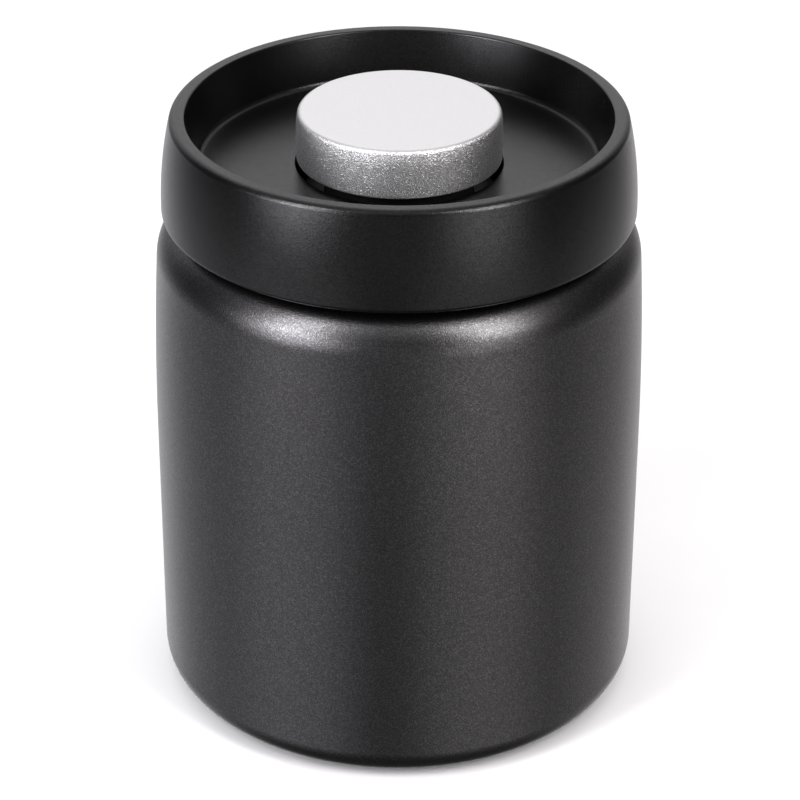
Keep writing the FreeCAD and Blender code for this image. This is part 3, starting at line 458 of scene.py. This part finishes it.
def dress(piece, body, slot, *nodes):
    """Say what a piece rides on and which nodes it stands for; the slot argument is not used."""
    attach(piece, body)
    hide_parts(*nodes)


def vessel():
    """Drawn steel vessel, coated outside, bare inside and on the bead."""
    knee = math.degrees(SHOULDER_ANGLE)
    bend = (BODY_R - SHOULDER_BEND, SHOULDER)
    turn = (ROUND_R, ROUND_Z)
    base = (BODY_R - BASE_ROUND, FOOT + BASE_ROUND)
    bead = (NECK_R, NECK_TOP - BEAD_R)
    bead_end = 180 + math.degrees(math.acos(STEEL_WALL / BEAD_R))
    inner_round = SHOULDER_ROUND - STEEL_WALL
    end = math.degrees(math.acos((NECK_R - ROUND_R) / SHOULDER_ROUND))
    inner_end = math.degrees(math.acos((NECK_IN - ROUND_R) / inner_round))
    inner_foot = ROUND_Z + inner_round * math.sin(math.radians(inner_end))
    outline = rounded([
        (0, PAD_TOP),
        (PAD_SEAT_R, PAD_TOP, SEAT_EDGE),
        (FOOT_IN, FOOT, SEAT_EDGE),
        *arc(base, BASE_ROUND, -90, 0, LONG_ARC_STEPS),
        *arc(bend, SHOULDER_BEND, 0, knee, LONG_ARC_STEPS),
        *arc(turn, SHOULDER_ROUND, knee, end - NECK_RUNOUT, SHOULDER_STEPS),
        (NECK_R, NECK_FOOT, NECK_EDGE),
        *arc(bead, BEAD_R, -90, bead_end, BEAD_STEPS),
        (NECK_IN, inner_foot, NECK_EDGE),
        *arc(turn, inner_round, inner_end - NECK_RUNOUT, knee, LONG_ARC_STEPS),
        *arc(bend, SHOULDER_BEND - STEEL_WALL, knee, 0, LONG_ARC_STEPS),
        *arc(base, BASE_ROUND - STEEL_WALL, 0, -90, LONG_ARC_STEPS),
        (FOOT_IN, FOOT + STEEL_WALL, SEAT_EDGE),
        (PAD_SEAT_R, PAD_TOP + STEEL_WALL, SEAT_EDGE),
        (0, PAD_TOP + STEEL_WALL),
    ])

    def slot_of(middle, normal):
        faces_out = normal.x * middle.x + normal.y * middle.y > 0
        below_bead = middle.z < bead[1] * MM
        under_base = normal.z < DOWN_FACING and middle.z < (FOOT + PAD_TOP) * MM
        return 0 if below_bead and (faces_out or under_base) else 1

    piece = lathe("vessel", outline, [COAT, INSIDE], slot_of)
    dress(piece, "canister", "powder_coat", "canister_shell")


def foot_pad():
    """Soft foot with ring grooves, its edges moulded round."""
    outer = PAD_SEAT_R - PAD_GAP
    corners = [(0, PAD_TOP), (0, 0)]
    for groove in range(GROOVE_COUNT, 0, -1):
        inside = outer - groove * GROOVE_PITCH - GROOVE_WIDTH / 2
        outside = inside + GROOVE_WIDTH
        corners += [
            (inside, 0, GROOVE_EDGE),
            (inside, GROOVE_DEPTH, GROOVE_ROUND),
            (outside, GROOVE_DEPTH, GROOVE_ROUND),
            (outside, 0, GROOVE_EDGE),
        ]
    corners += [(outer, 0, PAD_EDGE), (outer, PAD_TOP, PAD_TOP_EDGE)]
    piece = lathe("foot_pad", rounded(corners, SMALL_CORNER_STEPS), [SILICONE])
    dress(piece, "canister", "silicone", "base_pad")


def lid():
    """Bowed side, rounded rim, dish and well, in one moulding."""
    hollow_top = FLOOR + HOLLOW_RISE
    hollow_in = DISH_R + DISH_WALL + DISH_TAPER * HOLLOW_RISE / DISH_DEPTH
    collar_r = WELL_R + COLLAR_WALL
    collar_low = FLOOR_UNDER - COLLAR_DEPTH
    rise = math.degrees(math.asin((LID_TOP - LID_WIDEST) / LID_BOW))
    drop = math.degrees(math.asin((LID_BOTTOM - LID_WIDEST) / LID_BOW))
    side = arc((BOW_R, LID_WIDEST), LID_BOW, drop, rise, LID_SIDE_STEPS)
    outline = rounded([
        (WELL_R, collar_low, COLLAR_EDGE),
        (collar_r, collar_low, COLLAR_EDGE),
        (collar_r, FLOOR_UNDER, HOLLOW_ROUND),
        (DISH_R + DISH_WALL, FLOOR_UNDER, HOLLOW_ROUND),
        (hollow_in, hollow_top, HOLLOW_ROUND),
        (LID_R - SKIRT_WALL - SKIRT_TAPER, hollow_top, HOLLOW_ROUND),
        (LID_R - SKIRT_WALL, LID_BOTTOM, SKIRT_EDGE),
        (*side[0], LID_EDGE),
        *side[1:-2],
        (*side[-1], RIM_ROUND),
        (RIM_IN, LID_TOP, RIM_EDGE),
        (DISH_R, FLOOR, DISH_ROUND),
        (WELL_R, FLOOR, WELL_EDGE),
    ])
    dress(lathe("lid", outline, [LID_PAINT]), "lid", "matte_lid", "lid_shell")


def lid_bosses():
    """Screw bosses under the lid's floor."""
    low = FLOOR_UNDER - BOSS_HEIGHT
    outline = rounded([
        (0, low + PILOT_DEPTH),
        (PILOT_R, low + PILOT_DEPTH),
        (PILOT_R, low, PILOT_EDGE),
        (BOSS_R, low, BOSS_EDGE),
        (BOSS_R, FLOOR_UNDER),
        (0, FLOOR_UNDER),
    ], SMALL_CORNER_STEPS)
    for k in range(BOSS_COUNT):
        turn = 2 * math.pi * k / BOSS_COUNT
        centre = (BOSS_CIRCLE * math.cos(turn), BOSS_CIRCLE * math.sin(turn))
        piece = lathe(f"lid_boss_{k + 1}", outline, [MOULDING], centre=centre, segments=BOSS_SEGMENTS)
        dress(piece, "lid", "matte_lid", "lid_shell")


def button():
    """Aluminium cap whose side leans in a little below its rounded top edge."""
    outline = rounded([
        (0, PLUNGER_TOP),
        (CAP_IN, PLUNGER_TOP, CAP_INNER_ROUND),
        (CAP_IN, CAP_BOTTOM, CAP_INNER_EDGE),
        (BUTTON_R, CAP_BOTTOM, CAP_EDGE),
        (BUTTON_R, CAP_TOP - LEAN_HEIGHT, LEAN_ROUND),
        (BUTTON_R - BUTTON_LEAN, CAP_TOP, BUTTON_ROUND),
        (0, CAP_TOP),
    ])

    def slot_of(middle, normal):
        return 1 if normal.z > TOP_FACING else 0

    piece = lathe("button", outline, [BLASTED, SMOOTH], slot_of)
    dress(piece, "button", "blasted_aluminium", "button_cap")


def soft_ring(name, body, node, corners, centre=(0, 0), segments=RING_SEGMENTS):
    """A moulded seal, turned from its rounded section."""
    piece = lathe(name, rounded(corners, SEAL_CORNER_STEPS), [SILICONE], centre=centre, segments=segments)
    dress(piece, body, "silicone", node)


def box_section(inner, outer, low, high, edges):
    """Square section with edges for its inner and outer foot and its outer and inner top."""
    places = ((inner, low), (outer, low), (outer, high), (inner, high))
    return [(*place, edge) for place, edge in zip(places, edges)]


def lip_gasket():
    """Gasket in the plug's groove, with two lips that slope up to the neck."""
    lip_tip, lip_gap, lip_drop = 0.4, 0.05, 0.35
    root_edge, tip_edge, seat_edge = 0.1, 0.15, 0.2
    lip_r, low, high = span("neck_gasket")
    pitch = (high - low) / 2
    corners = [(GASKET_SEAT_R, high, seat_edge), (GASKET_SEAT_R, low, seat_edge)]
    for foot in (low, low + pitch):
        lip_top = foot + pitch - lip_gap
        corners += [
            (PLUG_R, foot, root_edge),
            (lip_r, lip_top - lip_tip, tip_edge),
            (lip_r, lip_top, tip_edge),
            (PLUG_R, lip_top - lip_drop, root_edge),
        ]
    corners.append((PLUG_R, high, root_edge))
    soft_ring("lip_gasket", "lid", "neck_gasket", corners, segments=SEGMENTS)


def cup_seal():
    """Piston seal with a flat base and a thin lip that stands up against the barrel."""
    clamp_width, base, lip = 3.6, 0.9, 0.7
    clamp_edge, lip_round = 0.15, 0.3
    lip_r, low, high = span("piston_seal")
    soft_ring("cup_seal", "button", "piston_seal", [
        (lip_r - clamp_width, low, clamp_edge),
        (lip_r - lip, low, lip_round),
        (lip_r, low + base, lip_round),
        (lip_r, high, clamp_edge),
        (lip_r - lip / 2, high, clamp_edge),
        (lip_r - lip, low + base, lip_round),
        (lip_r - clamp_width, low + base, clamp_edge),
    ])


def plate_ring():
    """Seal between the pump's floor plate and the plug."""
    width, foot_edge, top_edge = 1.3, 0.25, 0.4
    outer, low, high = span("plate_seal")
    edges = (foot_edge, foot_edge, top_edge, top_edge)
    soft_ring("plate_ring", "lid", "plate_seal", box_section(outer - width, outer, low, high, edges))


def inlet_flap():
    """Flap valve that thins out towards its free edge."""
    inner, clamp_width, free_edge_height = 7.34, 4.0, 0.5
    clamp_edge, free_edge, slope_round = 0.15, 0.2, 3.0
    outer, low, high = span("inlet_flap")
    soft_ring("flap", "lid", "inlet_flap", [
        (inner, low, clamp_edge),
        (outer, low, free_edge),
        (outer, low + free_edge_height, free_edge),
        (inner + clamp_width, high, slope_round),
        (inner, high, clamp_edge),
    ])


def hub_ring():
    """Seal round the hub of the release disc."""
    width, inner_edge, outer_edge = 0.95, 0.3, 0.42
    outer, low, high = span("hub_seal")
    edges = (inner_edge, outer_edge, outer_edge, inner_edge)
    soft_ring("hub_ring", "release", "hub_seal", box_section(outer - width, outer, low, high, edges))


def vent_ring():
    """Face seal round the vent, beside the middle of the lid."""
    width, foot_edge, top_edge = 1.4, 0.3, 0.15
    low_corner, high_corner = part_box("vent_seal")
    middle = (low_corner + high_corner) / (2 * MM)
    outer = (high_corner.x - low_corner.x) / (2 * MM)
    edges = (foot_edge, foot_edge, top_edge, top_edge)
    corners = box_section(outer - width, outer, low_corner.z / MM, high_corner.z / MM, edges)
    soft_ring("vent_ring", "lid", "vent_seal", corners, (middle.x, middle.y), SMALL_SEGMENTS)


def spring():
    """Wire coil with close end turns, drawn at one fixed length; the real spring shortens as the button
    goes down.
    """
    outer, low, high = span("return_spring")
    coil_r = outer - WIRE_R
    bottom = low + WIRE_R
    end_pitch = 2 * WIRE_R + COIL_END_GAP
    extra = high - WIRE_R - bottom - end_pitch * COIL_TURNS
    around = POINTS_AROUND_WIRE
    count = POINTS_PER_TURN * COIL_TURNS
    verts = []
    for k in range(count + 1):
        turns = k / POINTS_PER_TURN
        share = min(max((turns - 1) / (COIL_TURNS - 2), 0), 1)
        rise = bottom + end_pitch * turns + extra * (share - math.sin(2 * math.pi * share) / (2 * math.pi))
        swing = 2 * math.pi * turns
        for j in range(around):
            tilt = 2 * math.pi * j / around
            reach = coil_r + WIRE_R * math.cos(tilt)
            place = (reach * math.cos(swing), reach * math.sin(swing), rise + WIRE_R * math.sin(tilt))
            verts.append(Vector(place) * MM)
    faces = [list(range(around)), list(range(len(verts) - 1, len(verts) - around - 1, -1))]
    for k in range(count):
        for j in range(around):
            here = k * around + j
            beside = k * around + (j + 1) % around
            faces.append([here, here + around, beside + around, beside])
    piece = finish_mesh("coil", verts, faces, [BARE_STEEL])
    dress(piece, "lid", "bare_steel", "return_spring")
    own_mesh(piece)


vessel()
foot_pad()
lid()
lid_bosses()
button()
lip_gasket()
cup_seal()
plate_ring()
inlet_flap()
hub_ring()
vent_ring()
spring()

# Finish of the CAD pieces that are shown as they are
FINISH = {
    "plug_ring": MOULDING, "pump_body": MOULDING, "stop_ring": MOULDING, "plunger": MOULDING,
    "seal_retainer": MOULDING, "release_disc": MOULDING, "filter_grille": MOULDING,
    "plug_screws": BARE_STEEL, "pump_screws": BARE_STEEL, "spring_seat": BARE_STEEL,
    "drive_stem": BARE_STEEL, "hub_clip": BARE_STEEL, "filter_screen": WIRE_CLOTH,
}
for node, finish in FINISH.items():
    for slot in frame["nodes"][node].material_slots:
        slot.material = finish


# Studio: directions are an azimuth and an elevation in degrees, seen from the object.
# Azimuth 0 is the camera's side and a larger azimuth is further right.
LIGHT_TARGET = Vector((0, 0, 0.09))
COOL = (0.98, 0.965, 1.0)
WARM = (1.0, 0.97, 0.975)

# Lit patches in front: azimuth, elevation, angle from the middle to the edge, strength
PATCHES = (
    (0, -29, 65, 0.06),
    (0, -8, 34, 0.16),
    (-50, -29, 34, 0.61),
    (-50, 11, 25, 5.6),
    (40, -29, 34, 0.57),
    (40, 1, 23, 1.8),
)


def aim(azimuth, elevation):
    """Unit vector of a direction."""
    a, e = math.radians(azimuth), math.radians(elevation)
    return Vector((math.sin(a) * math.cos(e), -math.cos(a) * math.cos(e), math.sin(e)))


def studio_floor():
    """Wide pale disc that the object stands on."""
    reach, depth = 4000.0, 20.0
    made, tree, shader, place = new_material("studio_floor")
    colour(tree, shader, noise(tree, place, scale=30), [(0.3, grey(0.91)), (0.7, grey(0.93))])
    shader.inputs["Roughness"].default_value = 0.9
    shader.inputs["Specular IOR Level"].default_value = 0.1
    outline = [(0, -depth), (reach, -depth), (reach, 0.0), (0, 0.0)]
    piece = lathe("studio_floor", outline, [made], segments=SMALL_SEGMENTS)
    piece.visible_glossy = False


def softbox(name, azimuth, elevation, distance, size, radiance, tint=(1, 1, 1)):
    """Rectangular area light that faces the object, hidden from the camera."""
    data = bpy.data.lights.new(name, "AREA")
    data.shape = "RECTANGLE"
    data.size, data.size_y = size
    data.color = tint
    data.energy = radiance * math.pi * size[0] * size[1]
    light = bpy.data.objects.new(name, data)
    away = aim(azimuth, elevation)
    light.location = LIGHT_TARGET + away * distance
    light.rotation_mode = "QUATERNION"
    light.rotation_quaternion = away.to_track_quat("Z", "Y")
    light.visible_camera = False
    bpy.context.scene.collection.objects.link(light)
    return light


def lights():
    """A softbox on each side, and a broad light above that only evens out the floor."""
    near = 0.6
    softbox("left_box", -50, 35, near, size=(0.16, 0.42), radiance=11.4, tint=COOL)
    softbox("right_box", 45, 36, near, size=(0.18, 0.42), radiance=10.4, tint=WARM)
    overhead = softbox("top_box", 0, 90, distance=1.2, size=(1.6, 1.6), radiance=1.0)
    overhead.visible_glossy = False


def ramp(tree, value, low, high, start=0.0, end=1.0):
    """Smooth step from a start at one level to an end at another."""
    node = tree.nodes.new("ShaderNodeMapRange")
    node.interpolation_type = "SMOOTHSTEP"
    node.inputs["From Min"].default_value = low
    node.inputs["From Max"].default_value = high
    node.inputs["To Min"].default_value = start
    node.inputs["To Max"].default_value = end
    tree.links.new(value, node.inputs["Value"])
    return node.outputs["Result"]


def nearness(tree, towards, direction):
    """Cosine of the angle between two unit directions."""
    node = tree.nodes.new("ShaderNodeVectorMath")
    node.operation = "DOT_PRODUCT"
    node.inputs[1].default_value = direction
    tree.links.new(towards, node.inputs[0])
    return node.outputs["Value"]


def level_direction(tree, parts):
    """Unit direction with its height taken out."""
    flat = tree.nodes.new("ShaderNodeCombineXYZ")
    tree.links.new(parts.outputs["X"], flat.inputs["X"])
    tree.links.new(parts.outputs["Y"], flat.inputs["Y"])
    level = tree.nodes.new("ShaderNodeVectorMath")
    level.operation = "NORMALIZE"
    tree.links.new(flat.outputs["Vector"], level.inputs[0])
    return level.outputs["Vector"]


def patch(tree, towards, azimuth, elevation, edge, strength):
    """Soft round patch of light about a direction."""
    near = nearness(tree, towards, aim(azimuth, elevation))
    return ramp(tree, near, math.cos(math.radians(edge)), 1.0, end=strength)


def world():
    """White sweep behind, soft ceiling, pale floor at the sides and lit patches in front."""
    made = bpy.data.worlds.new("studio")
    made.use_nodes = True
    tree = made.node_tree
    background = tree.nodes["Background"]
    towards = tree.nodes.new("ShaderNodeTexCoord").outputs["Generated"]
    parts = tree.nodes.new("ShaderNodeSeparateXYZ")
    tree.links.new(towards, parts.inputs["Vector"])
    up = parts.outputs["Z"]
    straight_back = (-0.08, 1, 0)
    back = nearness(tree, level_direction(tree, parts), straight_back)

    wall = ramp(tree, back, low=0.45, high=1.1, end=1.15)
    wall = math_node(tree, "MULTIPLY", wall, ramp(tree, up, low=-0.1, high=0.45, start=0.4))
    wall = math_node(tree, "MULTIPLY", wall, ramp(tree, up, low=0.98, high=0.7))
    ceiling = ramp(tree, up, low=0.5, high=1.0, end=0.58)
    floor = ramp(tree, up, low=0.0, high=-0.5, end=0.5)
    floor = math_node(tree, "MULTIPLY", floor, ramp(tree, back, low=-1.0, high=0.5))
    total = math_node(tree, "ADD", math_node(tree, "ADD", wall, ceiling), floor)
    for place in PATCHES:
        total = math_node(tree, "ADD", total, patch(tree, towards, *place))
    total = math_node(tree, "MULTIPLY", total, ramp(tree, up, low=-0.92, high=-0.62))

    least = 0.08
    lift = tree.nodes.new("ShaderNodeMapRange")
    lift.clamp = False
    lift.inputs["To Min"].default_value = least
    lift.inputs["To Max"].default_value = 1 + least
    tree.links.new(total, lift.inputs["Value"])
    tree.links.new(lift.outputs["Result"], background.inputs["Strength"])
    sides = ramp(tree, parts.outputs["X"], low=-0.8, high=0.8)
    tints = [(0.0, (0.96, 0.945, 1.0)), (0.5, (1.0, 0.985, 1.0)), (1.0, WARM)]
    tree.links.new(colour_ramp(tree, sides, tints), background.inputs["Color"])
    bpy.context.scene.world = made


def camera():
    """Long lens at the photo's angle, with the photo's slight roll."""
    elevation = 29.31
    distance = 0.6515
    target = Vector((0.0003, 0, 0.0643))
    roll_angle = 0.0034
    data = bpy.data.cameras.new("camera")
    data.sensor_width = 36
    data.lens = 134.3
    shot = bpy.data.objects.new("camera", data)
    away = aim(0, elevation)
    shot.location = target + away * distance
    shot.rotation_mode = "QUATERNION"
    roll = Matrix.Rotation(roll_angle, 3, "Z").to_quaternion()
    shot.rotation_quaternion = away.to_track_quat("Z", "Y") @ roll
    bpy.context.scene.collection.objects.link(shot)
    bpy.context.scene.camera = shot


studio_floor()
world()
lights()
camera()
bpy.context.scene.view_settings.view_transform = "Standard"
